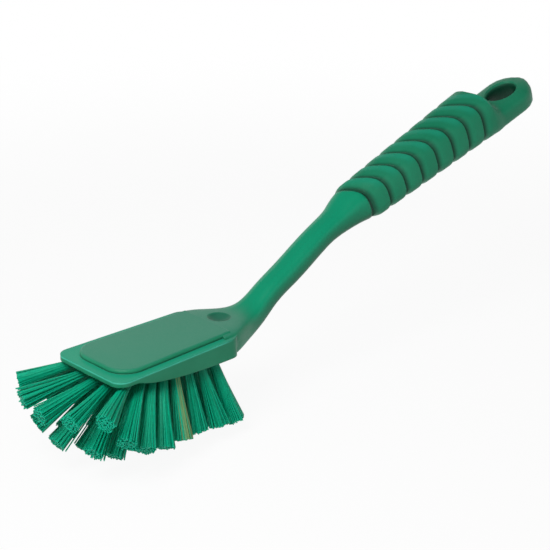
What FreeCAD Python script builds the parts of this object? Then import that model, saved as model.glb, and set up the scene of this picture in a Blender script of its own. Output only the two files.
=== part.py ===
import FreeCAD, Part
import math
import os
import Sketcher

# Dish brush: one moulded body with a tufted head, a raked neck and a ribbed grip with a hanging eye.
# Head datum: x = 0 at the front edge, +x to the grip, z = 0 on the ledge round the head's top.

doc = FreeCAD.newDocument("dish_brush")
sheet = doc.addObject("Spreadsheet::Sheet", "sizes")

driving_sizes = {
    # Head plate with its ledge and raised back
    "head_length": 67.0,
    "head_front_width": 41.6,
    "head_rear_width": 36.4,
    "front_corner_radius": 5.5,
    "rear_corner_radius": 6.0,
    "rim_height": 2.2,
    "back_height": 1.9,
    "back_corner_radius": 10.0,
    "back_edge_radius": 1.2,
    "ledge_front": 4.6,
    "ledge_side": 3.6,
    "back_setback": 3.4,
    "dimple_diameter": 11.0,
    "dimple_depth": 2.2,
    "dimple_setback": 3.5,
    # Domed bristle bed under the plate
    "bed_depth": 9.8,
    "bed_nose": 2.0,
    "bed_setback": 3.0,
    "bed_half_crown": 37.5,
    "nose_front": 2.0,
    "nose_length": 14.0,
    "nose_half_width": 20.0,
    "nose_depth": 8.9,
    # Tufts, their holes and the anchor plates that hold the folds
    "tuft_diameter": 3.8,
    "tuft_tip_diameter": 5.8,
    "tuft_length": 31.0,
    "tuft_exit": 2.6,
    "hole_depth": 4.0,
    "hole_clearance": 0.05,
    "anchor_thickness": 0.4,
    "anchor_height": 2.0,
    "anchor_bite": 0.35,
    "fold_height": 0.8,
    # Neck between head and grip
    "root_lap": 8.0,
    "neck_run": 86.4,
    "neck_rise": 34.65,
    "neck_width": 12.2,
    "neck_height": 9.7,
    "root_width": 33.8,
    "root_height": 11.6,
    "root_sink": 0.12,
    "flare_width": 21.0,
    "flare_height": 14.4,
    "flare_depth": 2.4,
    # Ribbed grip, measured along its own raked axis from the first groove
    "grip_pitch_angle": 17.6,
    "grip_front_width": 23.8,
    "grip_front_height": 16.4,
    "grip_rear_width": 27.2,
    "grip_rear_height": 21.2,
    "grip_nose": 0.5,
    "groove_pitch": 9.8,
    "groove_width": 1.6,
    "groove_depth": 1.7,
    "groove_wall": 0.35,
    "first_groove_setback": 1.6,
    "rib_step": 0.8,
    "rib_ramp": 3.6,
    "hump_length": 7.2,
    # Hanging eye
    "eye_place": 99.3,
    "eye_length": 15.0,
    "eye_width": 10.6,
    "eye_rim": 1.2,
    "eye_wall": 7.0,
    "loop_width": 22.6,
    "loop_height": 11.2,
    # One overrun for all cuts
    "overrun": 1.0,
}
for row, (alias, value) in enumerate(driving_sizes.items(), start=1):
    sheet.set(f"A{row}", alias)
    sheet.set(f"B{row}", str(value))
    sheet.setAlias(f"B{row}", alias)
doc.recompute()


def size(alias):
    return float(sheet.get(alias))


def vec(x, y, z):
    return FreeCAD.Vector(x, y, z)


def bind(thing, **expressions):
    for path, expression in expressions.items():
        thing.setExpression(path.replace("__", "."), expression)


def origin_plane(body, role):
    return next(f for f in body.Origin.OriginFeatures if f.Role == role)


def sketch_on(body, role, name, height="0"):
    sketch = body.newObject("Sketcher::SketchObject", name)
    sketch.AttachmentSupport = [(origin_plane(body, role), "")]
    sketch.MapMode = "FlatFace"
    sketch.setExpression("AttachmentOffset.Base.z", height)
    return sketch


def closed_outline(sketch, points):
    count = len(points)
    for start, end in zip(points, points[1:] + points[:1]):
        sketch.addGeometry(Part.LineSegment(vec(*start, 0), vec(*end, 0)), False)
    for line in range(count):
        sketch.addConstraint(Sketcher.Constraint("Coincident", line, 2, (line + 1) % count, 1))


def set_distance(sketch, axis, line, expression):
    # Distance of a line's first point from the sketch origin along one axis, the sign as drawn
    kind = "Distance" + axis
    point = sketch.getPoint(line, 1)
    value = point.x if axis == "X" else point.y
    if value < 0:
        index = sketch.addConstraint(Sketcher.Constraint(kind, line, 1, -1, 1, -value))
    else:
        index = sketch.addConstraint(Sketcher.Constraint(kind, -1, 1, line, 1, value))
    sketch.setExpression(f"Constraints[{index}]", expression)


def edges_where(feature, test):
    names = []
    for number, edge in enumerate(feature.Shape.Edges, start=1):
        if test(edge):
            names.append(f"Edge{number}")
    return names


def edges_at_height(feature, height):
    flat = Part.Precision.confusion()
    return edges_where(feature, lambda e: abs(e.BoundBox.ZMin - height) < flat and e.BoundBox.ZLength < flat)


def is_upright(edge):
    start, end = edge.Vertexes[0].Point, edge.Vertexes[-1].Point
    return abs(start.x - end.x) + abs(start.y - end.y) < Part.Precision.confusion()


# Head

def tapered_outline(body, name, height, start, end, inset):
    # Four-sided plan that keeps one inset from the head's tapered sides, widest at the front
    front = "sizes.head_front_width / 2"
    taper = "(sizes.head_front_width - sizes.head_rear_width) / 2 / sizes.head_length"
    half = front + " - ({inset}) - " + taper + " * ({place})"
    sketch = sketch_on(body, "XY_Plane", name, height)
    closed_outline(sketch, [(1, -1), (2, -1), (2, 1), (1, 1)])
    for line, place in ((0, start), (1, end), (2, end), (3, start)):
        set_distance(sketch, "X", line, place)
        set_distance(sketch, "Y", line, half.format(inset=inset, place=place))
    return sketch


def pad_up(body, name, outline, length):
    pad = body.newObject("PartDesign::Pad", name)
    pad.Profile = outline
    pad.setExpression("Length", length)
    doc.recompute()
    return pad


def round_corners(body, base, name, place, radius, above):
    # Rounds the upright edges that stand at one x and reach above one height
    reach = Part.Precision.confusion()
    feature = body.newObject("PartDesign::Fillet", name)
    feature.Base = (base, edges_where(base, lambda edge: is_upright(edge)
                                      and abs(edge.Vertexes[0].X - place) < reach
                                      and edge.BoundBox.ZMax > above + reach))
    feature.setExpression("Radius", radius)
    doc.recompute()
    return feature


def make_plate():
    # The rim plate, and the raised back that stands inside its ledge
    body = doc.addObject("PartDesign::Body", "head_plate")
    outline = tapered_outline(body, "plate_outline", "-sizes.rim_height", "0", "sizes.head_length", "0")
    pad = pad_up(body, "plate", outline, "sizes.rim_height")
    under = -size("rim_height")
    front = round_corners(body, pad, "plate_front_corners", 0, "sizes.front_corner_radius", under)
    round_corners(body, front, "plate_rear_corners", size("head_length"), "sizes.rear_corner_radius", under)
    outline = tapered_outline(body, "back_outline", "0", "sizes.ledge_front",
                              "sizes.head_length - sizes.back_setback", "sizes.ledge_side")
    back = pad_up(body, "raised_back", outline, "sizes.back_height")
    corners = round_corners(body, back, "back_corners", size("ledge_front"), "sizes.back_corner_radius", 0)
    soften = body.newObject("PartDesign::Fillet", "back_edges")
    last = size("head_length") - size("back_setback") - size("back_edge_radius")
    top_edges = edges_at_height(corners, size("back_height"))
    soften.Base = (corners, [name for name in top_edges
                             if corners.Shape.getElement(name).BoundBox.XMin < last])
    soften.setExpression("Radius", "sizes.back_edge_radius")
    doc.recompute()
    return body


def make_bed():
    # The bed under the plate: the head's plan cut to a long dome, with a blunter nose in front
    body = doc.addObject("PartDesign::Body", "bed_block")
    outline = tapered_outline(body, "bed_outline", "-sizes.bed_depth - sizes.overrun", "0",
                              "sizes.head_length", "0")
    pad = pad_up(body, "bed_pad", outline, "sizes.bed_depth + sizes.overrun")
    under = -size("bed_depth") - size("overrun")
    front = round_corners(body, pad, "bed_front_corners", 0, "sizes.front_corner_radius", under)
    round_corners(body, front, "bed_rear_corners", size("head_length"), "sizes.rear_corner_radius", under)
    dome = doc.addObject("Part::Ellipsoid", "bed_dome")
    bind(dome, Radius1="sizes.bed_depth", Radius2="sizes.head_length - sizes.bed_setback + sizes.bed_nose",
         Radius3="sizes.bed_half_crown", Placement__Base__x="sizes.head_length - sizes.bed_setback")
    nose = doc.addObject("Part::Ellipsoid", "bed_nose")
    bind(nose, Radius1="sizes.nose_depth", Radius2="sizes.nose_length", Radius3="sizes.nose_half_width",
         Placement__Base__x="sizes.nose_front + sizes.nose_length")
    form = doc.addObject("Part::Fuse", "bed_form")
    form.Base = dome
    form.Tool = nose
    bed = doc.addObject("Part::Common", "bristle_bed")
    bed.Base = body
    bed.Tool = form
    doc.recompute()
    return bed


# Neck and grip: lofts through squarish ovals

pitch = math.radians(size("grip_pitch_angle"))
neck_start = size("head_length") - size("root_lap")
root_level = size("back_height") - size("root_sink") - size("root_height") / 2
grip_start = vec(neck_start + size("neck_run"), 0, root_level + size("neck_rise"))
grip_along = vec(math.cos(pitch), 0, math.sin(pitch))
grip_up = vec(-math.sin(pitch), 0, math.cos(pitch))

lean_side_share = 0.56
lean_height_share = 0.22
first_lean_share = 0.74
shoulder_share = 0.22
front_shoulder_share = 1.4
root_squareness = 6.0
neck_squareness = 2.8
front_squareness = 2.8
grip_squareness = 3.2
loop_squareness = 3.4
section_points = 13


def power(value, exponent):
    return math.copysign(abs(value) ** exponent, value)


def oval(centre, along, up, half_width, top, bottom, squareness, lean, shoulder):
    # A squarish oval with a narrower top, whose plane leans back towards the near side and the top
    middle, half_height = (top + bottom) / 2, (top - bottom) / 2
    halves = []
    for hand in (-1, 1):
        points = []
        for step in range(section_points):
            angle = math.pi * (step / (section_points - 1) - 0.5)
            height = power(math.sin(angle), 2 / squareness)
            side = hand * half_width * round(math.cos(angle), 9) ** (2 / squareness)
            side *= 1 - shoulder * shoulder_share * (1 + height) / 2
            rise = middle + half_height * height
            back = lean * (lean_height_share * rise - lean_side_share * side)
            points.append(centre + along * back + up * rise + vec(0, side, 0))
        outward = vec(0, hand, 0) - along * (hand * lean * lean_side_share)
        curve = Part.BSplineCurve()
        curve.interpolate(Points=points, InitialTangent=outward, FinalTangent=-outward)
        halves.append(curve.toShape())
    return Part.Wire(halves)


def loft(name, wires, ruled):
    sections = []
    for number, wire in enumerate(wires, start=1):
        section = doc.addObject("Part::Feature", f"{name}_section_{number}")
        section.Shape = wire
        sections.append(section)
    solid = doc.addObject("Part::Loft", name)
    solid.Sections = sections
    solid.Solid = True
    solid.Ruled = ruled
    doc.recompute()
    return solid


# Along the neck: run, rise, how much of the root's width is left, how much of the flare has come
neck_shares = [
    (0.000, 0.000, 1.00, 0.00),
    (0.087, 0.000, 0.92, 0.00),
    (0.168, -0.004, 0.62, 0.00),
    (0.254, 0.005, 0.29, 0.00),
    (0.336, 0.070, 0.09, 0.00),
    (0.434, 0.237, 0.00, 0.00),
    (0.563, 0.418, 0.00, 0.00),
    (0.721, 0.655, 0.00, 0.00),
    (0.833, 0.803, 0.00, 0.00),
    (0.907, 0.880, 0.00, 0.22),
    (1.000, 1.000, 0.00, 1.00),
]
neck_lean_shares = [0, 0, 0, 0, 0, 0, 0, 0, 0.1, 0.35, first_lean_share]


def make_neck():
    places = []
    for run, rise, root, flare in neck_shares:
        places.append(vec(neck_start + run * size("neck_run"), 0,
                          root_level + rise * size("neck_rise")))
    wires = []
    last = len(places) - 1
    places[last] = grip_start + grip_along * (size("first_groove_setback") - size("groove_width") / 2)
    for index, (run, rise, root, flare) in enumerate(neck_shares):
        along = places[min(index + 1, last)] - places[max(index - 1, 0)]
        along = grip_along if index == last else along.normalize()
        if index == 0:
            along = vec(1, 0, 0)
        up = vec(-along.z, 0, along.x)
        width = size("neck_width") + root * (size("root_width") - size("neck_width"))
        width += flare * (size("flare_width") - size("neck_width"))
        height = size("neck_height") + root * (size("root_height") - size("neck_height"))
        height += flare * (size("flare_height") - size("neck_height"))
        squareness = neck_squareness + root * (root_squareness - neck_squareness)
        squareness += flare * (front_squareness - neck_squareness)
        wires.append(oval(places[index], along, up, width / 2, height / 2, -height / 2, squareness,
                          neck_lean_shares[index], flare * front_shoulder_share))
    return loft("neck", wires, False)


groove_count = 8
hump_shares = [(0.0, 0.0, 0.0), (0.12, 0.10, 0.04), (0.40, 0.52, 0.30), (0.70, 0.86, 0.70), (1.0, 1.0, 1.0)]
loop_end_turns = [0, 18, 36, 52, 66, 78, 85]
loop_end_top_share = 0.18
loop_end_bottom_share = 0.07
hump_lean_share = 0.2


def make_grip():
    rear = groove_count * size("groove_pitch")
    wires = []

    def add(place, depth, lean=1):
        # A full section of the grip, drawn in all round by the given depth
        grown = min(place / rear, 1.0)
        width = size("grip_front_width") + grown * (size("grip_rear_width") - size("grip_front_width"))
        height = size("grip_front_height") + grown * (size("grip_rear_height") - size("grip_front_height"))
        top = height / 2 - depth
        squareness = front_squareness + grown * (grip_squareness - front_squareness)
        shoulder = front_shoulder_share + grown * (1 - front_shoulder_share)
        wires.append(oval(grip_start + grip_along * place, grip_along, grip_up, width / 2 - depth, top, -top,
                          squareness, lean, shoulder))

    # Core that starts inside the neck's flare, then a groove, a step, a ramp and a flat for each rib
    gap, wall = size("groove_width") / 2, size("groove_wall")
    core_start = size("first_groove_setback") - size("flare_depth")
    wires.append(oval(grip_start + grip_along * core_start, grip_along, grip_up,
                      size("neck_width") / 2, size("neck_height") / 2, -size("neck_height") / 2,
                      front_squareness, first_lean_share, front_shoulder_share))
    for groove in range(groove_count):
        place = groove * size("groove_pitch")
        depth = size("groove_depth")
        lean = 1
        if groove:
            add(place - gap - wall, 0)
        else:
            place += size("first_groove_setback")
            depth += size("grip_nose")
            lean = first_lean_share
        add(place - gap, depth, lean)
        add(place + gap, depth, lean)
        add(place + gap + wall, depth - size("rib_step"), lean)
        add(place + gap + size("rib_ramp"), 0)

    # Behind the last rib the top falls to the flat loop, and the lean fades
    full_top = size("grip_rear_height") / 2
    loop_top = size("loop_height") - full_top
    hump = (groove_count - 1) * size("groove_pitch") + gap + size("rib_ramp") + size("hump_length")
    loop_front = size("eye_place") - size("eye_length") / 2 - size("eye_wall") / 2
    for run, drop, narrowing in hump_shares:
        place = hump + run * (loop_front - hump)
        wires.append(oval(
            grip_start + grip_along * place, grip_along, grip_up,
            (size("grip_rear_width") + narrowing * (size("loop_width") - size("grip_rear_width"))) / 2,
            full_top + drop * (loop_top - full_top), -full_top,
            grip_squareness + drop * (loop_squareness - grip_squareness),
            hump_lean_share * (1 - drop), 1 - drop))

    # Round end of the loop
    radius = size("loop_width") / 2
    round_start = size("eye_place") + size("eye_length") / 2 + size("eye_wall") - radius
    for turn in loop_end_turns:
        angle = math.radians(turn)
        thin = size("loop_height") * (1 - math.cos(angle))
        wires.append(oval(
            grip_start + grip_along * (round_start + radius * math.sin(angle)), grip_along, grip_up,
            radius * math.cos(angle), loop_top - loop_end_top_share * thin,
            loop_end_bottom_share * thin - full_top, loop_squareness, 0, 0))
    return loft("grip", wires, True)


# Rim of the eye: place through the loop's height, and how much of the rim's flare is left there
eye_rim_shares = [
    (-0.10, 1.6), (0.0, 1.0), (0.10, 0.28), (0.25, 0.0), (0.75, 0.0), (0.90, 0.28), (1.0, 1.0), (1.10, 1.6),
]


def make_eye():
    bottom = -size("grip_rear_height") / 2
    sections = []
    for number, (share, flare) in enumerate(eye_rim_shares, start=1):
        ring = doc.addObject("Part::Ellipse", f"eye_section_{number}")
        bind(ring, MajorRadius=f"sizes.eye_length / 2 + {flare} * sizes.eye_rim",
             MinorRadius=f"sizes.eye_width / 2 + {flare} * sizes.eye_rim")
        centre = grip_start + grip_along * size("eye_place")
        centre += grip_up * (bottom + share * size("loop_height"))
        ring.Placement = FreeCAD.Placement(centre, FreeCAD.Rotation(vec(0, 1, 0), -size("grip_pitch_angle")))
        sections.append(ring)
    tool = doc.addObject("Part::Loft", "eye_tool")
    tool.Sections = sections
    tool.Solid = True
    tool.Ruled = True
    return tool


def make_dimple():
    # A shallow round dish in the top behind the raised back
    sphere = doc.addObject("Part::Sphere", "dimple_tool")
    radius = "(pow(sizes.dimple_diameter; 2) / 4 + pow(sizes.dimple_depth; 2)) / 2 / sizes.dimple_depth"
    bind(sphere, Radius=radius, Placement__Base__x="sizes.head_length + sizes.dimple_setback",
         Placement__Base__z=f"sizes.back_height - sizes.dimple_depth + {radius}")
    return sphere


# Tufts in rows from the front: place along the head, set-back of the outer columns, forward rake and
# outward splay in degrees, and length
tuft_row_shares = [0.085, 0.190, 0.297, 0.402, 0.507, 0.612, 0.717, 0.822]
tuft_arc_shares = [0.050, 0.050, 0.030, 0.012, 0, 0, 0, 0]
tuft_rakes = [77, 57, 40, 25, 10, -2, -8, -13]
tuft_splays = [68, 52, 39, 29, 22, 17, 15, 14]
tuft_length_shares = [0.98, 1.12, 1.12, 1.06, 0.99, 0.97, 0.99, 1.04]
tuft_column_shares = [-1.0, -0.5, 0.0, 0.5, 1.0]
tuft_spread_share = 0.70
tuft_outer_length_share = 0.88


def bed_height(x, y):
    # Height of the bristle bed's surface, never above the plate's underside
    def depth(centre, half_length, half_width, half_height):
        along, across = (x - centre) / half_length, y / half_width
        return half_height * math.sqrt(max(1 - along * along - across * across, 0.0))

    crown = size("head_length") - size("bed_setback")
    dome = depth(crown, crown + size("bed_nose"), size("bed_half_crown"), size("bed_depth"))
    nose = depth(size("nose_front") + size("nose_length"), size("nose_length"), size("nose_half_width"),
                 size("nose_depth"))
    return -max(dome, nose, size("rim_height"))


def tuft_places():
    # Name, placement with z along the tuft from the hole's floor, and length share of every tuft
    found = []
    rows = zip(tuft_row_shares, tuft_arc_shares, tuft_rakes, tuft_splays, tuft_length_shares)
    for row, (row_share, arc, rake, splay, row_length) in enumerate(rows, start=1):
        for column, side in enumerate(tuft_column_shares, start=1):
            share = row_share + arc * side * side
            half = size("head_front_width") / 2
            half += share * (size("head_rear_width") - size("head_front_width")) / 2
            x = share * size("head_length")
            y = side * tuft_spread_share * half
            length = row_length * (1 - (1 - tuft_outer_length_share) * side * side)
            direction = vec(-math.tan(math.radians(rake)), side * math.tan(math.radians(splay)), -1)
            direction.normalize()
            mouth = vec(x, y, bed_height(x, y))
            floor = mouth - direction * size("hole_depth")
            turn = FreeCAD.Rotation(vec(0, 1, 0), vec(0, 0, 0), direction, "ZYX")
            found.append((f"tuft_{row}_{column}", FreeCAD.Placement(floor, turn), length))
    return found


def make_tuft(name, length_share):
    # A bundle that fills its hole, stands straight out of it, then spreads to a flat cut tip
    body = doc.addObject("PartDesign::Body", name)
    sketch = sketch_on(body, "XZ_Plane", name + "_profile")
    root, tip = size("tuft_diameter") / 2, size("tuft_tip_diameter") / 2
    straight = size("hole_depth") + size("tuft_exit")
    end = size("hole_depth") + size("tuft_length") * length_share
    closed_outline(sketch, [(0, 0), (root, 0), (root, straight), (tip, end), (0, end)])
    sketch.addConstraint(Sketcher.Constraint("Coincident", 0, 1, -1, 1))
    sketch.addConstraint(Sketcher.Constraint("PointOnObject", 1, 1, -1))
    sketch.addConstraint(Sketcher.Constraint("PointOnObject", 4, 1, -2))
    set_distance(sketch, "X", 1, "sizes.tuft_diameter / 2")
    set_distance(sketch, "X", 2, "sizes.tuft_diameter / 2")
    set_distance(sketch, "Y", 2, "sizes.hole_depth + sizes.tuft_exit")
    set_distance(sketch, "X", 3, "sizes.tuft_tip_diameter / 2")
    length = f"sizes.hole_depth + sizes.tuft_length * {length_share}"
    set_distance(sketch, "Y", 3, length)
    set_distance(sketch, "Y", 4, length)
    bundle = body.newObject("PartDesign::Revolution", name + "_bundle")
    bundle.Profile = sketch
    bundle.ReferenceAxis = (sketch, ["V_Axis"])
    bundle.Angle = 360
    window = sketch_on(body, "XZ_Plane", name + "_anchor_window")
    half, low = size("anchor_thickness") / 2, size("fold_height")
    high = low + size("anchor_height")
    closed_outline(window, [(-half, low), (half, low), (half, high), (-half, high)])
    floor_rule = "sizes.fold_height"
    roof_rule = "sizes.fold_height + sizes.anchor_height"
    for line, rule in enumerate([floor_rule, floor_rule, roof_rule, roof_rule]):
        set_distance(window, "X", line, "sizes.anchor_thickness / 2")
        set_distance(window, "Y", line, rule)
    slot = body.newObject("PartDesign::Pocket", name + "_anchor_slot")
    slot.Profile = window
    slot.Midplane = True
    slot.setExpression("Length", "sizes.tuft_diameter + 2 * sizes.overrun")
    return body


def make_anchor(name, place):
    # A flat wire across the hole that pins the tuft's fold and bites into the walls
    plate = doc.addObject("Part::Box", name)
    bind(plate, Length="sizes.anchor_thickness", Width="sizes.tuft_diameter + 2 * sizes.anchor_bite",
         Height="sizes.anchor_height")
    corner = vec(-size("anchor_thickness") / 2, -size("tuft_diameter") / 2 - size("anchor_bite"),
                 size("fold_height"))
    plate.Placement = place.multiply(FreeCAD.Placement(corner, FreeCAD.Rotation()))
    return plate


def make_hole(name, place):
    hole = doc.addObject("Part::Cylinder", name)
    bind(hole, Radius="sizes.tuft_diameter / 2 + sizes.hole_clearance",
         Height="sizes.hole_depth + sizes.tuft_exit")
    hole.Placement = place
    return hole


# Assembly

tufts, anchors, holes = [], [], []
for label, place, length_share in tuft_places():
    tuft = make_tuft(label, length_share)
    tuft.Placement = place
    tufts.append(tuft)
    anchors.append(make_anchor(label + "_anchor", place))
    holes.append(make_hole(label + "_hole", place))

head = doc.addObject("Part::Fuse", "head")
head.Base = make_plate()
head.Tool = make_bed()
bores = doc.addObject("Part::Compound", "bores")
bores.Links = holes + anchors
bored_head = doc.addObject("Part::Cut", "bored_head")
bored_head.Base = head
bored_head.Tool = bores
handle = doc.addObject("Part::Fuse", "handle")
handle.Base = make_neck()
handle.Tool = make_grip()
hollows = doc.addObject("Part::Compound", "hollows")
hollows.Links = [make_eye(), make_dimple()]
hollowed_handle = doc.addObject("Part::Cut", "hollowed_handle")
hollowed_handle.Base = handle
hollowed_handle.Tool = hollows
brush_body = doc.addObject("Part::Fuse", "brush_body")
brush_body.Base = bored_head
brush_body.Tool = hollowed_handle
anchor_group = doc.addObject("Part::Compound", "anchor_plates")
anchor_group.Links = anchors
doc.recompute()

# Checks, then the origin: the middle of the footprint, on the level of the lowest bristle tips
sub_parts = [brush_body, anchor_group] + tufts
for item in doc.Objects:
    if "Invalid" in item.State or "Error" in item.State:
        raise RuntimeError(f"{item.Name} failed: {item.State}")
for item in sub_parts:
    if item.Shape.isNull() or not item.Shape.isValid():
        raise RuntimeError(f"{item.Name} has no valid shape")

box = FreeCAD.BoundBox()
for item in sub_parts:
    box.add(item.Shape.optimalBoundingBox(False))
to_origin = FreeCAD.Placement(vec(-box.Center.x, 0, -box.ZMin), FreeCAD.Rotation())

os.makedirs("parts", exist_ok=True)
for item in sub_parts:
    item.Placement = to_origin.multiply(item.Placement)
    print(item.Label, len(item.Shape.Solids), "solids", round(item.Shape.Volume, 1), "mm3")
    item.Shape.exportStep(f"parts/{item.Label}.step")
print("size", round(box.XLength, 2), round(box.YLength, 2), round(box.ZLength, 2))
print("shift", round(-box.Center.x, 3), round(-box.ZMin, 3))
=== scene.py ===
import bpy
import math
import numpy as np
from mathutils import Euler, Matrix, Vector


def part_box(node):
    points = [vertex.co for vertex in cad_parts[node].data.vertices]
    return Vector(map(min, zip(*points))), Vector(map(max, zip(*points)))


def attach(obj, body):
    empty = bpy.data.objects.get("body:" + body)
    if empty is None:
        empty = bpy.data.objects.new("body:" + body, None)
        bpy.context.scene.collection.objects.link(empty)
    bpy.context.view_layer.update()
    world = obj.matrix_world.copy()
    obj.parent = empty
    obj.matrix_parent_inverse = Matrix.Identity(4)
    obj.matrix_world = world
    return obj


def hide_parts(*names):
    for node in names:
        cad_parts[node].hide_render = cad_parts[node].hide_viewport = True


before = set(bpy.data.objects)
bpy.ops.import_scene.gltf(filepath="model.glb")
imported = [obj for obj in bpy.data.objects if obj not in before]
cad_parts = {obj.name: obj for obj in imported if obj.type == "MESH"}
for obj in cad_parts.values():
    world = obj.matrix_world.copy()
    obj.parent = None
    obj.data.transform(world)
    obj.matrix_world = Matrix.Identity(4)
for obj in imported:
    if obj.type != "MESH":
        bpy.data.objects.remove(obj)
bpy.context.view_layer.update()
print("frame loaded:", len(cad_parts), "nodes")

mm = 0.001
ledgeLevel = 41.776 * mm
headPlace = Vector((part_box("brush_body")[0].x, 0, ledgeLevel))  # front edge of the head, level of its ledge
falling = (1.0, 0.0)
black = (0.0, 0.0, 0.0)
white = (1.0, 1.0, 1.0)


def makeActive(piece):
    bpy.ops.object.select_all(action="DESELECT")
    piece.select_set(True)
    bpy.context.view_layer.objects.active = piece


# node helpers, which take the node tree first

def newMaterial(name):
    material = bpy.data.materials.new(name)
    material.use_nodes = True
    tree = material.node_tree
    return material, tree, tree.nodes["Principled BSDF"]


def feed(tree, socket, value):
    # a socket takes a link, a colour or a plain number
    if isinstance(value, bpy.types.NodeSocket):
        tree.links.new(value, socket)
    elif isinstance(value, tuple):
        socket.default_value = (*value, 1.0)
    else:
        socket.default_value = value


def mathNode(tree, operation, first, second=None):
    node = tree.nodes.new("ShaderNodeMath")
    node.operation = operation
    feed(tree, node.inputs[0], first)
    if second is not None:
        feed(tree, node.inputs[1], second)
    return node.outputs[0]


def product(tree, first, *others):
    for other in others:
        first = mathNode(tree, "MULTIPLY", first, other)
    return first


def vectorNode(tree, operation, first, second):
    node = tree.nodes.new("ShaderNodeVectorMath")
    node.operation = operation
    tree.links.new(first, node.inputs[0])
    node.inputs[1].default_value = second
    return node.outputs


def splitVector(tree, vector):
    node = tree.nodes.new("ShaderNodeSeparateXYZ")
    tree.links.new(vector, node.inputs[0])
    return node.outputs


def objectCoords(tree):
    return tree.nodes.new("ShaderNodeTexCoord").outputs["Object"]


def rangeNode(tree, value, limits, results=(0.0, 1.0), smooth=False):
    node = tree.nodes.new("ShaderNodeMapRange")
    node.interpolation_type = "SMOOTHSTEP" if smooth else "LINEAR"
    tree.links.new(value, node.inputs["Value"])
    for name, number in zip(("From Min", "From Max", "To Min", "To Max"), (*limits, *results)):
        node.inputs[name].default_value = number
    return node.outputs["Result"]


def mixColor(tree, factor, first, second):
    node = tree.nodes.new("ShaderNodeMix")
    node.data_type = "RGBA"
    feed(tree, node.inputs[0], factor)
    feed(tree, node.inputs[6], first)
    feed(tree, node.inputs[7], second)
    return node.outputs[2]


def mixValue(tree, factor, first, second):
    node = tree.nodes.new("ShaderNodeMix")
    feed(tree, node.inputs[0], factor)
    feed(tree, node.inputs[2], first)
    feed(tree, node.inputs[3], second)
    return node.outputs[0]


def mixShader(tree, factor, first, second, output):
    mix = tree.nodes.new("ShaderNodeMixShader")
    tree.links.new(factor, mix.inputs[0])
    tree.links.new(first.outputs[0], mix.inputs[1])
    tree.links.new(second.outputs[0], mix.inputs[2])
    tree.links.new(mix.outputs[0], tree.nodes[output].inputs["Surface"])


def noiseNode(tree, coords, scale, detail):
    node = tree.nodes.new("ShaderNodeTexNoise")
    tree.links.new(coords, node.inputs["Vector"])
    feed(tree, node.inputs["Scale"], scale)
    feed(tree, node.inputs["Detail"], detail)
    return node.outputs["Fac"]


# fine spark-eroded grain and slow tone drift, shared by the plastics

mouldGrain = {
    "detail": 3.0,
    "driftScale": 45.0,
    "limits": (0.3, 0.7),     # where the noise is cut off for roughness
}


def makeGrainGroup():
    group = bpy.data.node_groups.new("mouldGrain", "ShaderNodeTree")
    group.interface.new_socket("Coords", in_out="INPUT", socket_type="NodeSocketVector")
    group.interface.new_socket("Grain Scale", in_out="INPUT", socket_type="NodeSocketFloat")
    group.interface.new_socket("Grain", in_out="OUTPUT", socket_type="NodeSocketFloat")
    group.interface.new_socket("Drift", in_out="OUTPUT", socket_type="NodeSocketFloat")
    entry = group.nodes.new("NodeGroupInput").outputs
    leave = group.nodes.new("NodeGroupOutput").inputs
    fine = noiseNode(group, entry["Coords"], entry["Grain Scale"], mouldGrain["detail"])
    slow = noiseNode(group, entry["Coords"], mouldGrain["driftScale"], mouldGrain["detail"])
    group.links.new(fine, leave["Grain"])
    group.links.new(slow, leave["Drift"])
    return group


grainGroup = makeGrainGroup()


def addGrain(tree, coords, scale):
    node = tree.nodes.new("ShaderNodeGroup")
    node.node_tree = grainGroup
    node.inputs["Grain Scale"].default_value = scale
    tree.links.new(coords, node.inputs["Coords"])
    return node.outputs


# the moulding: head, neck, grip and loop in one green plastic

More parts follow.
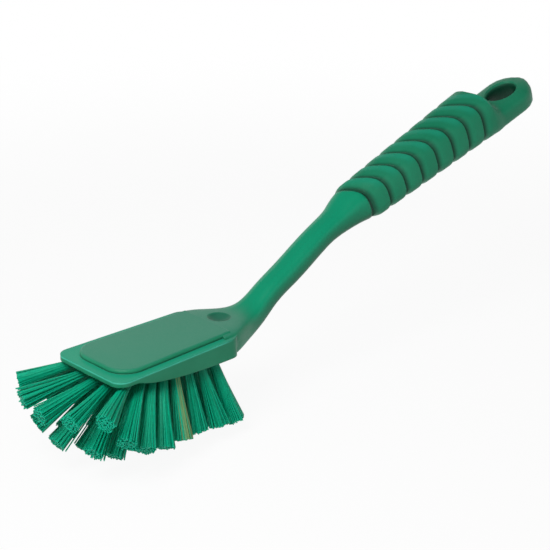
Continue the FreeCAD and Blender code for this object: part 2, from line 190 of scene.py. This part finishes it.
moulding = {
    "mergeGap": 0.01 * mm,
    "smoothAngle": 32,
    "matteColor": (0.006, 0.218, 0.108),
    "paleColor": (0.014, 0.258, 0.134),
    "driftLimits": (0.35, 0.65),  # from the matte to the pale tone
    "glossColor": (0.003, 0.300, 0.156),
    # painted shade: a darker copy of the neck's colour for faces that turn down
    "glossShadeColor": (0.004, 0.165, 0.080),
    "shadeFacing": (0.55, -0.35),  # how far a face turns down for the painted shade on the neck's sides
    "sheenColor": (0.034, 0.252, 0.152),  # painted sheen on the head's top, a greyer tone in place of the backdrop's reflection
    "topFacing": (0.7, 0.95),  # the normal's Z, from no painted sheen to full
    "matteRoughness": (0.37, 0.49),
    "glossRoughness": (0.27, 0.35),
    "shine": 0.24,
    "grainScale": 2600.0,
    "grainHeight": 0.035 * mm,
    "edgeRadius": 0.25 * mm,
    "headEdgeRadius": 0.7 * mm,
    "neckEdgeRadius": 1.4 * mm,
    "edgeSamples": 6,
    "neckStart": (74.0 * mm, 90.0 * mm),  # from the head's front edge: end of its grain, start of full gloss
    "neckStop": (-0.3 * mm, 0.1 * mm),    # before and behind the middle of the first groove
    "gripStart": (145.4 * mm, 30.63 * mm),  # behind the head's front edge and above its ledge
    "gripPitch": 17.6,
    "leanSide": 0.56,         # how far the grooves lean forward per length sideways
    "leanHeight": 0.22,       # and back per length upward
    "firstLean": 0.74,        # share of that lean which the first groove has
    "firstPlace": 1.6 * mm,   # how far behind the grip's start the first groove lies
    "groovePitch": 9.8 * mm,
    "grooveCount": 8,
    "laterStart": 0.8,        # in pitches, where the grooves behind the first begin
    "grooveLead": 1.15 * mm,  # where a groove's painted shade begins, in front of the groove's middle
    "grooveEdge": (0.0, 0.35 * mm),
    "grooveFade": (1.3 * mm, 4.2 * mm),
    "grooveShade": 0.80,      # how dark the painted shade down in a groove is
    # painted highlight on the crests of the ribs, where they face up
    "crestHighlightColor": (0.012, 0.370, 0.225),
    "crestHighlightShare": 0.55,
    "crestRise": (4.6 * mm, 8.2 * mm),
    "crestFacing": (0.35, 0.85),
    "ribStart": 2.0 * mm,     # behind the first groove
    "eyePlace": 99.3 * mm,
    "eyeSize": (15.0 * mm, 10.6 * mm),
    "eyeFade": (1.02, 1.30),  # squared reach from the eye's middle, with one on its oval
    "eyeShade": 0.80,
    "dimplePlace": 70.5 * mm,
    "dimpleFade": (4.125 * mm, 5.5 * mm),
    "dimpleReach": 2.0 * mm,  # how far under the ledge's level the dish's painted shade goes
    "dimpleShade": 0.38,
    "lipHighlightColor": (0.060, 0.520, 0.360),  # painted highlight on the top edge of the head's rim
    "lipRise": (-0.9 * mm, -0.27 * mm),  # heights over the ledge
    # painted light: the flat ledge lighter than the rest of the head
    "ledgeLightColor": (0.010, 0.330, 0.190),
    "ledgeSlack": 0.1 * mm,   # how far off its level a flat face still counts as ledge
    "footFade": (0.32 * mm, 0.8 * mm),  # heights of the painted shade line round the foot of the raised back
    "footShade": 0.55,
    "levelSlack": 0.02 * mm,  # height over the ledge that parts lip and foot
    "uprightLimit": 0.6,      # the normal's largest Z on an upright face
    "flatLimit": 0.9,         # and its least Z on a flat one
    "rimEnd": (57.0 * mm, 63.0 * mm),  # where the painted light on lip and ledge and the painted shade at the foot end
}


def behindFront(name):
    # two places that are given from the head's front edge
    return tuple(headPlace.x + place for place in moulding[name])


def rimMasks(tree, place, facing):
    # painted highlight on the lip under the ledge's edge, painted shade at the foot of the raised back above
    # it, and painted light on the ledge between them
    onHead = rangeNode(tree, place["X"], behindFront("rimEnd"), falling)
    steep = mathNode(tree, "ABSOLUTE", facing)
    upright = mathNode(tree, "LESS_THAN", steep, moulding["uprightLimit"])
    level = mathNode(tree, "SUBTRACT", place["Z"], headPlace.z)
    lip = rangeNode(tree, level, moulding["lipRise"], smooth=True)
    below = mathNode(tree, "LESS_THAN", level, moulding["levelSlack"])
    foot = rangeNode(tree, level, moulding["footFade"], falling, smooth=True)
    above = mathNode(tree, "GREATER_THAN", level, moulding["levelSlack"])
    flat = mathNode(tree, "GREATER_THAN", facing, moulding["flatLimit"])
    near = mathNode(tree, "LESS_THAN", mathNode(tree, "ABSOLUTE", level), moulding["ledgeSlack"])
    lip = product(tree, lip, below, upright, onHead)
    foot = product(tree, foot, above, upright, onHead)
    return lip, foot, product(tree, flat, near, onHead)


def dimpleMask(tree, coords, place):
    # one in the round dish behind the raised back, where shade is painted
    flat = vectorNode(tree, "MULTIPLY", coords, (1.0, 1.0, 0.0))["Vector"]
    middle = (headPlace.x + moulding["dimplePlace"], 0.0, 0.0)
    away = vectorNode(tree, "DISTANCE", flat, middle)["Value"]
    dish = rangeNode(tree, away, moulding["dimpleFade"], falling, smooth=True)
    upper = mathNode(tree, "GREATER_THAN", place["Z"], headPlace.z - moulding["dimpleReach"])
    return product(tree, dish, upper)


def leanPlace(tree, coords, lean):
    # place along the grip, on planes that lean like its grooves
    pitch = math.radians(moulding["gripPitch"])
    along = Vector((math.cos(pitch), 0, math.sin(pitch)))
    up = Vector((-math.sin(pitch), 0, math.cos(pitch)))
    axis = along + lean * (Vector((0, moulding["leanSide"], 0)) - up * moulding["leanHeight"])
    start = headPlace + Vector((moulding["gripStart"][0], 0, moulding["gripStart"][1]))
    reach = vectorNode(tree, "DOT_PRODUCT", coords, axis)["Value"]
    return mathNode(tree, "SUBTRACT", reach, start.dot(axis))


def neckMask(tree, place, first):
    # one on the polished neck, nought on the grained head and on the ribs behind the first groove
    pastHead = rangeNode(tree, place["X"], behindFront("neckStart"), smooth=True)
    beforeGrip = rangeNode(tree, first, moulding["neckStop"], falling)
    return product(tree, pastHead, beforeGrip)


def paintedGrooveShade(tree, behind):
    # painted shade from a crest backwards: dark in the groove, fading up the ramp
    dark = rangeNode(tree, behind, moulding["grooveFade"], falling, smooth=True)
    edge = rangeNode(tree, behind, moulding["grooveEdge"])
    return product(tree, dark, edge)


def grooveMasks(tree, coords, first, facing):
    # one for the painted shade down in the leaning grooves, where the first leans less than the rest,
    # and one for the painted highlight on top of the crests
    pitch = moulding["groovePitch"]
    gripEnd = moulding["grooveCount"] * pitch
    place = mathNode(tree, "ADD", leanPlace(tree, coords, 1.0), moulding["grooveLead"])
    behind = mathNode(tree, "FLOORED_MODULO", place, pitch)
    starts = mathNode(tree, "GREATER_THAN", place, moulding["laterStart"] * pitch)
    ends = mathNode(tree, "LESS_THAN", place, gripEnd - pitch / 2)
    later = product(tree, paintedGrooveShade(tree, behind), ends, starts)
    front = paintedGrooveShade(tree, mathNode(tree, "ADD", first, moulding["grooveLead"]))
    # painted highlight on the crests
    crest = rangeNode(tree, behind, moulding["crestRise"], smooth=True)
    onGrip = mathNode(tree, "GREATER_THAN", first, moulding["ribStart"])
    onRibs = mathNode(tree, "LESS_THAN", place, gripEnd)
    upward = rangeNode(tree, facing, moulding["crestFacing"], smooth=True)
    return mathNode(tree, "MAXIMUM", later, front), product(tree, crest, onGrip, onRibs, upward)


def eyeMask(tree, coords, place):
    # one on the wall of the hanging eye, where shade is painted
    along = mathNode(tree, "SUBTRACT", leanPlace(tree, coords, 0.0), moulding["eyePlace"])
    squares = []
    for value, length in zip((along, place["Y"]), moulding["eyeSize"]):
        share = mathNode(tree, "DIVIDE", value, length / 2)
        squares.append(product(tree, share, share))
    reach = mathNode(tree, "ADD", *squares)
    return rangeNode(tree, reach, moulding["eyeFade"], falling, smooth=True)


def mouldingColor(tree, coords, place, first, neck, drift):
    surface = tree.nodes.new("ShaderNodeNewGeometry").outputs
    facing = splitVector(tree, surface["Normal"])["Z"]
    flatFacing = splitVector(tree, surface["True Normal"])["Z"]
    pale = rangeNode(tree, drift, moulding["driftLimits"])
    matte = mixColor(tree, pale, moulding["matteColor"], moulding["paleColor"])
    onHead = rangeNode(tree, place["X"], behindFront("neckStart"), falling)
    # painted sheen on the head's upward faces
    sheen = product(tree, onHead, rangeNode(tree, facing, moulding["topFacing"], smooth=True))
    matte = mixColor(tree, sheen, matte, moulding["sheenColor"])
    # painted shade on the neck's downward faces
    neckShade = rangeNode(tree, facing, moulding["shadeFacing"], smooth=True)
    gloss = mixColor(tree, neckShade, moulding["glossColor"], moulding["glossShadeColor"])
    color = mixColor(tree, neck, matte, gloss)
    groove, crest = grooveMasks(tree, coords, first, facing)
    lip, foot, ledge = rimMasks(tree, place, flatFacing)
    # painted highlight on the crests
    color = mixColor(tree, product(tree, crest, moulding["crestHighlightShare"]), color, moulding["crestHighlightColor"])
    # painted light on the ledge
    color = mixColor(tree, ledge, color, moulding["ledgeLightColor"])
    # painted highlight on the lip
    color = mixColor(tree, lip, color, moulding["lipHighlightColor"])
    # of the painted shades the strongest counts
    shade = product(tree, groove, moulding["grooveShade"])
    eye = eyeMask(tree, coords, place)
    dimple = dimpleMask(tree, coords, place)
    for mask, name in ((eye, "eyeShade"), (foot, "footShade"), (dimple, "dimpleShade")):
        shade = mathNode(tree, "MAXIMUM", shade, product(tree, mask, moulding[name]))
    return mixColor(tree, shade, color, black)


def mouldingNormal(tree, place, neck, grain):
    # softened edges, with fine grain everywhere but on the neck
    soften = tree.nodes.new("ShaderNodeBevel")
    soften.samples = moulding["edgeSamples"]
    radii = (moulding["headEdgeRadius"], moulding["edgeRadius"])
    radius = rangeNode(tree, place["X"], behindFront("neckStart"), radii)
    more = product(tree, neck, moulding["neckEdgeRadius"] - moulding["edgeRadius"])
    tree.links.new(mathNode(tree, "ADD", radius, more), soften.inputs["Radius"])
    bump = tree.nodes.new("ShaderNodeBump")
    bump.inputs["Distance"].default_value = moulding["grainHeight"]
    tree.links.new(mathNode(tree, "SUBTRACT", 1.0, neck), bump.inputs["Strength"])
    tree.links.new(grain, bump.inputs["Height"])
    tree.links.new(soften.outputs["Normal"], bump.inputs["Normal"])
    return bump.outputs["Normal"]


def makeMouldingMaterial():
    material, tree, shader = newMaterial("greenMoulding")
    coords = objectCoords(tree)
    place = splitVector(tree, coords)
    grain = addGrain(tree, coords, moulding["grainScale"])
    first = leanPlace(tree, coords, moulding["firstLean"])
    first = mathNode(tree, "SUBTRACT", first, moulding["firstPlace"])
    neck = neckMask(tree, place, first)
    color = mouldingColor(tree, coords, place, first, neck, grain["Drift"])
    matte = rangeNode(tree, grain["Grain"], mouldGrain["limits"], moulding["matteRoughness"])
    gloss = rangeNode(tree, grain["Drift"], mouldGrain["limits"], moulding["glossRoughness"])
    tree.links.new(color, shader.inputs["Base Color"])
    tree.links.new(mixValue(tree, neck, matte, gloss), shader.inputs["Roughness"])
    tree.links.new(mouldingNormal(tree, place, neck, grain["Grain"]), shader.inputs["Normal"])
    shader.inputs["Specular IOR Level"].default_value = moulding["shine"]
    return material


def makeMoulding():
    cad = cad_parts["brush_body"]
    piece = bpy.data.objects.new("moulding", cad.data.copy())
    bpy.context.scene.collection.objects.link(piece)
    makeActive(piece)
    bpy.ops.mesh.customdata_custom_splitnormals_clear()
    bpy.ops.object.mode_set(mode="EDIT")
    bpy.ops.mesh.select_all(action="SELECT")
    bpy.ops.mesh.remove_doubles(threshold=moulding["mergeGap"])
    bpy.ops.object.mode_set(mode="OBJECT")
    bpy.ops.object.shade_smooth_by_angle(angle=math.radians(moulding["smoothAngle"]))
    piece.data.materials.clear()
    piece.data.materials.append(makeMouldingMaterial())
    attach(piece, "root")
    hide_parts("brush_body")
    print("moulding:", len(piece.data.polygons), "faces")


makeMoulding()


# the tufts: bundles of thin filaments, each bundle where its solid stands

filaments = {
    "seed": 11,
    "count": 175,
    "radius": 0.29 * mm,
    "sides": 6,
    "cuts": 5,
    "smoothAngle": 60,
    "endDepth": 0.4 * mm,     # how deep the end rings of a tuft's solid are looked for
    "rootGap": 1.4 * mm,      # from the floor of a tuft's solid to where its filaments begin
    "rootRadius": 1.66 * mm,
    "tipRadius": 3.8 * mm,
    "spread": 0.11,           # how unevenly the tips stand apart
    "turnJitter": 0.3,
    "curvePower": 1.6,        # how late a filament leaves its bundle
    "bend": 0.8 * mm,
    "bendBack": 0.55,         # how much of a bend the tip takes back
    "strayShare": 0.03,
    "strayBend": 2.4 * mm,
    "lengthJitter": 0.006,
    "leanJitter": 0.6 * mm,
    "darkColor": (0.000, 0.120, 0.066),
    "midColor": (0.000, 0.300, 0.156),
    "brightColor": (0.002, 0.455, 0.262),
    # painted light: lighter towards the tips
    "tipLightFade": (0.45, 1.0),
    "tipLightShare": (0.0, 0.5),
    "speckLimits": (0.35, 0.7),
    "speckShare": (0.0, 0.25),
    # painted shade: darker towards the roots
    "rootFade": (0.05, 0.40),
    "rootShade": (0.60, 0.0),
    "tipColor": (0.005, 0.480, 0.300),
    "tipFade": (0.992, 1.0),
    "oliveTuft": "tuft_5_1",
    "oliveColor": (0.200, 0.350, 0.145),
    "oliveLimits": (0.10, 0.60),
    "oliveReach": -0.5,       # in root radii, where the olive strands begin
    "grainScale": 900.0,
    "roughness": (0.36, 0.52),
    "shine": 0.16,
}
goldenAngle = math.pi * (3 - math.sqrt(5))


def makeFilament():
    # one straight filament of unit length, standing on its root, open below and cut square on top
    unit = 1.0
    downFacing = -0.5
    bpy.ops.mesh.primitive_cylinder_add(vertices=filaments["sides"], radius=filaments["radius"], depth=unit,
                                        end_fill_type="NGON", location=(0, 0, unit / 2))
    piece = bpy.context.object
    bpy.ops.object.transform_apply(location=True, rotation=True, scale=True)
    bpy.ops.object.mode_set(mode="EDIT")
    bpy.ops.mesh.select_mode(type="FACE")
    bpy.ops.mesh.select_all(action="DESELECT")
    bpy.ops.object.mode_set(mode="OBJECT")
    for face in piece.data.polygons:
        face.select = face.normal.z < downFacing
    bpy.ops.object.mode_set(mode="EDIT")
    bpy.ops.mesh.delete(type="FACE")
    lengths = filaments["cuts"] + 1
    for cut in range(1, lengths):
        bpy.ops.mesh.select_all(action="SELECT")
        bpy.ops.mesh.bisect(plane_co=(0, 0, cut * unit / lengths), plane_no=(0, 0, 1))
    bpy.ops.object.mode_set(mode="OBJECT")
    points = np.array([vertex.co[:] for vertex in piece.data.vertices])
    faces = [list(face.vertices) for face in piece.data.polygons]
    bpy.data.objects.remove(piece)
    return points, faces


def tuftAxis(node):
    # floor and tip of a tuft's solid, from its end rings, of which the floor's is the smaller
    points = np.array([vertex.co[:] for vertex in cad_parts[node].data.vertices])
    centre = points.mean(axis=0)
    axis = np.linalg.svd(points - centre, full_matrices=False)[2][0]
    reach = (points - centre) @ axis
    ends = []
    for sign in (-1, 1):
        far = points[sign * reach > (sign * reach).max() - filaments["endDepth"]]
        middle = (far.min(axis=0) + far.max(axis=0)) / 2
        ends.append((middle, np.linalg.norm(far - far.mean(axis=0), axis=1).max()))
    ends.sort(key=lambda end: end[1])
    return ends[0][0], ends[1][0]


def makeTuft(node, filament, random):
    floor, tip = tuftAxis(node)
    length = np.linalg.norm(tip - floor)
    axis = (tip - floor) / length
    side = np.cross(axis, (0.0, 1.0, 0.0))
    side /= np.linalg.norm(side)
    across = np.cross(axis, side)
    points, faces = filament
    share = points[:, 2]
    curve = share ** filaments["curvePower"]
    sway = curve * (1 - filaments["bendBack"] * share)
    place = floor + axis * filaments["rootGap"]
    count = filaments["count"]
    allPoints, allFaces, strand, along, olive = [], [], [], [], []
    lean = random.normal(0, 1, 2) * filaments["leanJitter"]
    for number in range(count):
        ring = math.sqrt((number + random.random()) / count)
        turn = number * goldenAngle + random.normal(0, filaments["turnJitter"])
        outward = np.array((math.cos(turn), math.sin(turn))) * ring
        start = outward * filaments["rootRadius"]
        end = outward * filaments["tipRadius"] * (1 + random.normal(0, filaments["spread"])) + lean
        bend = random.normal(0, 1, 2) * filaments["bend"]
        if random.random() < filaments["strayShare"]:
            bend = random.normal(0, 1, 2) * filaments["strayBend"]
        run = length * (1 + random.normal(0, filaments["lengthJitter"])) - filaments["rootGap"]
        offset = points[:, :2] + np.outer(1 - curve, start) + np.outer(curve, end) + np.outer(sway, bend)
        body = place + np.outer(share * run, axis)
        body += np.outer(offset[:, 0], side) + np.outer(offset[:, 1], across)
        body[:, 2] = np.maximum(body[:, 2], 0.0)  # no end goes below the floor
        base = number * len(points)
        allPoints.append(body)
        allFaces.extend([[base + index for index in face] for face in faces])
        strand.append(np.full(len(points), random.random()))
        along.append(share)
        # one tuft carries olive strands on all but its front
        rear = (side * start[0] + across * start[1])[0] > filaments["oliveReach"] * filaments["rootRadius"]
        olive.append(np.full(len(points), float(rear and node == filaments["oliveTuft"])))
    mesh = bpy.data.meshes.new(node.replace("tuft", "filaments"))
    mesh.from_pydata(np.concatenate(allPoints).tolist(), [], allFaces)
    for name, values in (("strand", strand), ("along", along), ("olive", olive)):
        layer = mesh.attributes.new(name, "FLOAT", "POINT")
        layer.data.foreach_set("value", np.concatenate(values).astype(np.float32))
    piece = bpy.data.objects.new(mesh.name, mesh)
    bpy.context.scene.collection.objects.link(piece)
    return piece


def attributeNode(tree, name):
    node = tree.nodes.new("ShaderNodeAttribute")
    node.attribute_name = name
    return node.outputs["Fac"]


def makeFilamentMaterial():
    material, tree, shader = newMaterial("greenFilament")
    strand = attributeNode(tree, "strand")
    along = attributeNode(tree, "along")
    olive = attributeNode(tree, "olive")
    grain = addGrain(tree, objectCoords(tree), filaments["grainScale"])["Grain"]
    tone = mixColor(tree, strand, filaments["midColor"], filaments["brightColor"])
    # painted light, lighter towards the tips
    bright = rangeNode(tree, along, filaments["tipLightFade"], filaments["tipLightShare"])
    tone = mixColor(tree, bright, tone, filaments["brightColor"])
    speck = rangeNode(tree, grain, filaments["speckLimits"], filaments["speckShare"])
    tone = mixColor(tree, speck, tone, filaments["darkColor"])
    # painted shade towards the roots
    rootShade = rangeNode(tree, along, filaments["rootFade"], filaments["rootShade"], smooth=True)
    tone = mixColor(tree, rootShade, tone, filaments["darkColor"])
    oliveShare = product(tree, rangeNode(tree, strand, filaments["oliveLimits"]), olive)
    tone = mixColor(tree, oliveShare, tone, filaments["oliveColor"])
    cutEnd = rangeNode(tree, along, filaments["tipFade"])
    tone = mixColor(tree, cutEnd, tone, filaments["tipColor"])
    rough = rangeNode(tree, grain, mouldGrain["limits"], filaments["roughness"])
    tree.links.new(tone, shader.inputs["Base Color"])
    tree.links.new(rough, shader.inputs["Roughness"])
    shader.inputs["Specular IOR Level"].default_value = filaments["shine"]
    return material


def makeTufts():
    random = np.random.default_rng(filaments["seed"])
    material = makeFilamentMaterial()
    filament = makeFilament()
    total = 0
    for node in sorted(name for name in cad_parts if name.startswith("tuft_")):
        piece = makeTuft(node, filament, random)
        piece.data.materials.append(material)
        makeActive(piece)
        bpy.ops.object.shade_smooth_by_angle(angle=math.radians(filaments["smoothAngle"]))
        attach(piece, "root")
        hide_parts(node)
        total += len(piece.data.polygons)
    print("tufts:", total, "faces")


makeTufts()


# the anchor plates stay as they are, in drawn steel

anchors = {
    "color": (0.55, 0.56, 0.57),
    "dullColor": (0.36, 0.37, 0.38),
    "roughness": (0.24, 0.42),
    "roughLimits": (0.3, 0.7),
    "grainScale": 3000.0,
    "grainDetail": 4.0,
}


def makeAnchorMaterial():
    material, tree, shader = newMaterial("anchorWire")
    drawn = noiseNode(tree, objectCoords(tree), anchors["grainScale"], anchors["grainDetail"])
    color = mixColor(tree, drawn, anchors["color"], anchors["dullColor"])
    rough = rangeNode(tree, drawn, anchors["roughLimits"], anchors["roughness"])
    tree.links.new(color, shader.inputs["Base Color"])
    tree.links.new(rough, shader.inputs["Roughness"])
    shader.inputs["Metallic"].default_value = 1.0
    return material


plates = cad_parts["anchor_plates"]
plates.data.materials.clear()
plates.data.materials.append(makeAnchorMaterial())
print("anchors done")


# studio: pale floor, white backdrop and soft lights

studio = {
    "floorSize": 6.0,
    "floorColor": (0.85, 0.85, 0.85),
    "floorRoughness": 0.9,
    "whiteReach": (0.20, 0.48),
    "whiteShare": (0.93, 1.0),  # how much of the floor's shading the camera doesn't see, near and far
    "worldStrength": 0.25,
    "backdropTop": (0.45, 0.66),
    "backdropLight": (1.0, 0.15),  # how bright the backdrop and the room over its edge mirror
    "aim": (0.0, 0.0, 0.05),
    "keyPlace": (-0.37, -0.11, 0.42),
    "keySize": 0.26,
    "keyPower": 2.0,
    "fillPlace": (-0.30, -0.95, 0.45),
    "fillSize": 0.8,
    "fillPower": 0.7,
}


def addLight(name):
    light = bpy.data.lights.new(name, "AREA")
    light.size = studio[name + "Size"]
    light.energy = studio[name + "Power"]
    lamp = bpy.data.objects.new(name, light)
    lamp.location = studio[name + "Place"]
    aim = Vector(studio["aim"]) - lamp.location
    lamp.rotation_euler = aim.to_track_quat("-Z", "Y").to_euler()
    bpy.context.scene.collection.objects.link(lamp)


def seenRay(tree):
    # one for rays that show the backdrop: straight from the camera, mirrored or refracted
    path = tree.nodes.new("ShaderNodeLightPath").outputs
    seen = mathNode(tree, "MAXIMUM", path["Is Camera Ray"], path["Is Glossy Ray"])
    return mathNode(tree, "MAXIMUM", seen, path["Is Transmission Ray"])


def makeFloor():
    bpy.ops.mesh.primitive_plane_add(size=studio["floorSize"], location=(0, 0, 0))
    floor = bpy.context.object
    floor.name = "floor"
    material, tree, shader = newMaterial("paleFloor")
    feed(tree, shader.inputs["Base Color"], studio["floorColor"])
    shader.inputs["Roughness"].default_value = studio["floorRoughness"]
    shader.inputs["Specular IOR Level"].default_value = 0.0
    glow = tree.nodes.new("ShaderNodeEmission")
    feed(tree, glow.inputs["Color"], white)
    away = tree.nodes.new("ShaderNodeVectorMath")
    away.operation = "LENGTH"
    tree.links.new(objectCoords(tree), away.inputs[0])
    plain = rangeNode(tree, away.outputs["Value"], studio["whiteReach"], studio["whiteShare"], smooth=True)
    mixShader(tree, product(tree, seenRay(tree), plain), shader, glow, "Material Output")
    floor.data.materials.append(material)


def makeWorld():
    world = bpy.data.worlds.new("studioWhite")
    world.use_nodes = True
    tree = world.node_tree
    light = tree.nodes["Background"]
    feed(tree, light.inputs["Color"], white)
    light.inputs["Strength"].default_value = studio["worldStrength"]
    backdrop = tree.nodes.new("ShaderNodeBackground")
    feed(tree, backdrop.inputs["Color"], white)
    height = splitVector(tree, tree.nodes.new("ShaderNodeTexCoord").outputs["Generated"])["Z"]
    bright = rangeNode(tree, height, studio["backdropTop"], studio["backdropLight"], smooth=True)
    tree.links.new(bright, backdrop.inputs["Strength"])
    mixShader(tree, seenRay(tree), light, backdrop, "World Output")
    bpy.context.scene.world = world
    bpy.context.scene.view_settings.view_transform = "Standard"


makeFloor()
makeWorld()
addLight("key")
addLight("fill")
print("studio done")

cameraView = {
    "azimuth": -42.7315,
    "elevation": 23.1139,
    "distance": 952.846 * mm,
    "right": 74.820 * mm,
    "up": 37.4216 * mm,
    "lens": 157.091,
    "sensor": 36.0,
    "clipStart": 0.01,
    "clipEnd": 20.0,
}


def makeCamera():
    data = bpy.data.cameras.new("camera")
    data.lens = cameraView["lens"]
    data.sensor_width = cameraView["sensor"]
    data.clip_start = cameraView["clipStart"]
    data.clip_end = cameraView["clipEnd"]
    camera = bpy.data.objects.new("camera", data)
    turn = Euler((math.radians(90 - cameraView["elevation"]), 0, math.radians(cameraView["azimuth"])))
    offset = Vector((cameraView["right"], cameraView["up"], cameraView["distance"]))
    offset.rotate(turn)
    camera.location = headPlace + offset
    camera.rotation_euler = turn
    bpy.context.scene.collection.objects.link(camera)
    bpy.context.scene.camera = camera
    print("camera done")


makeCamera()
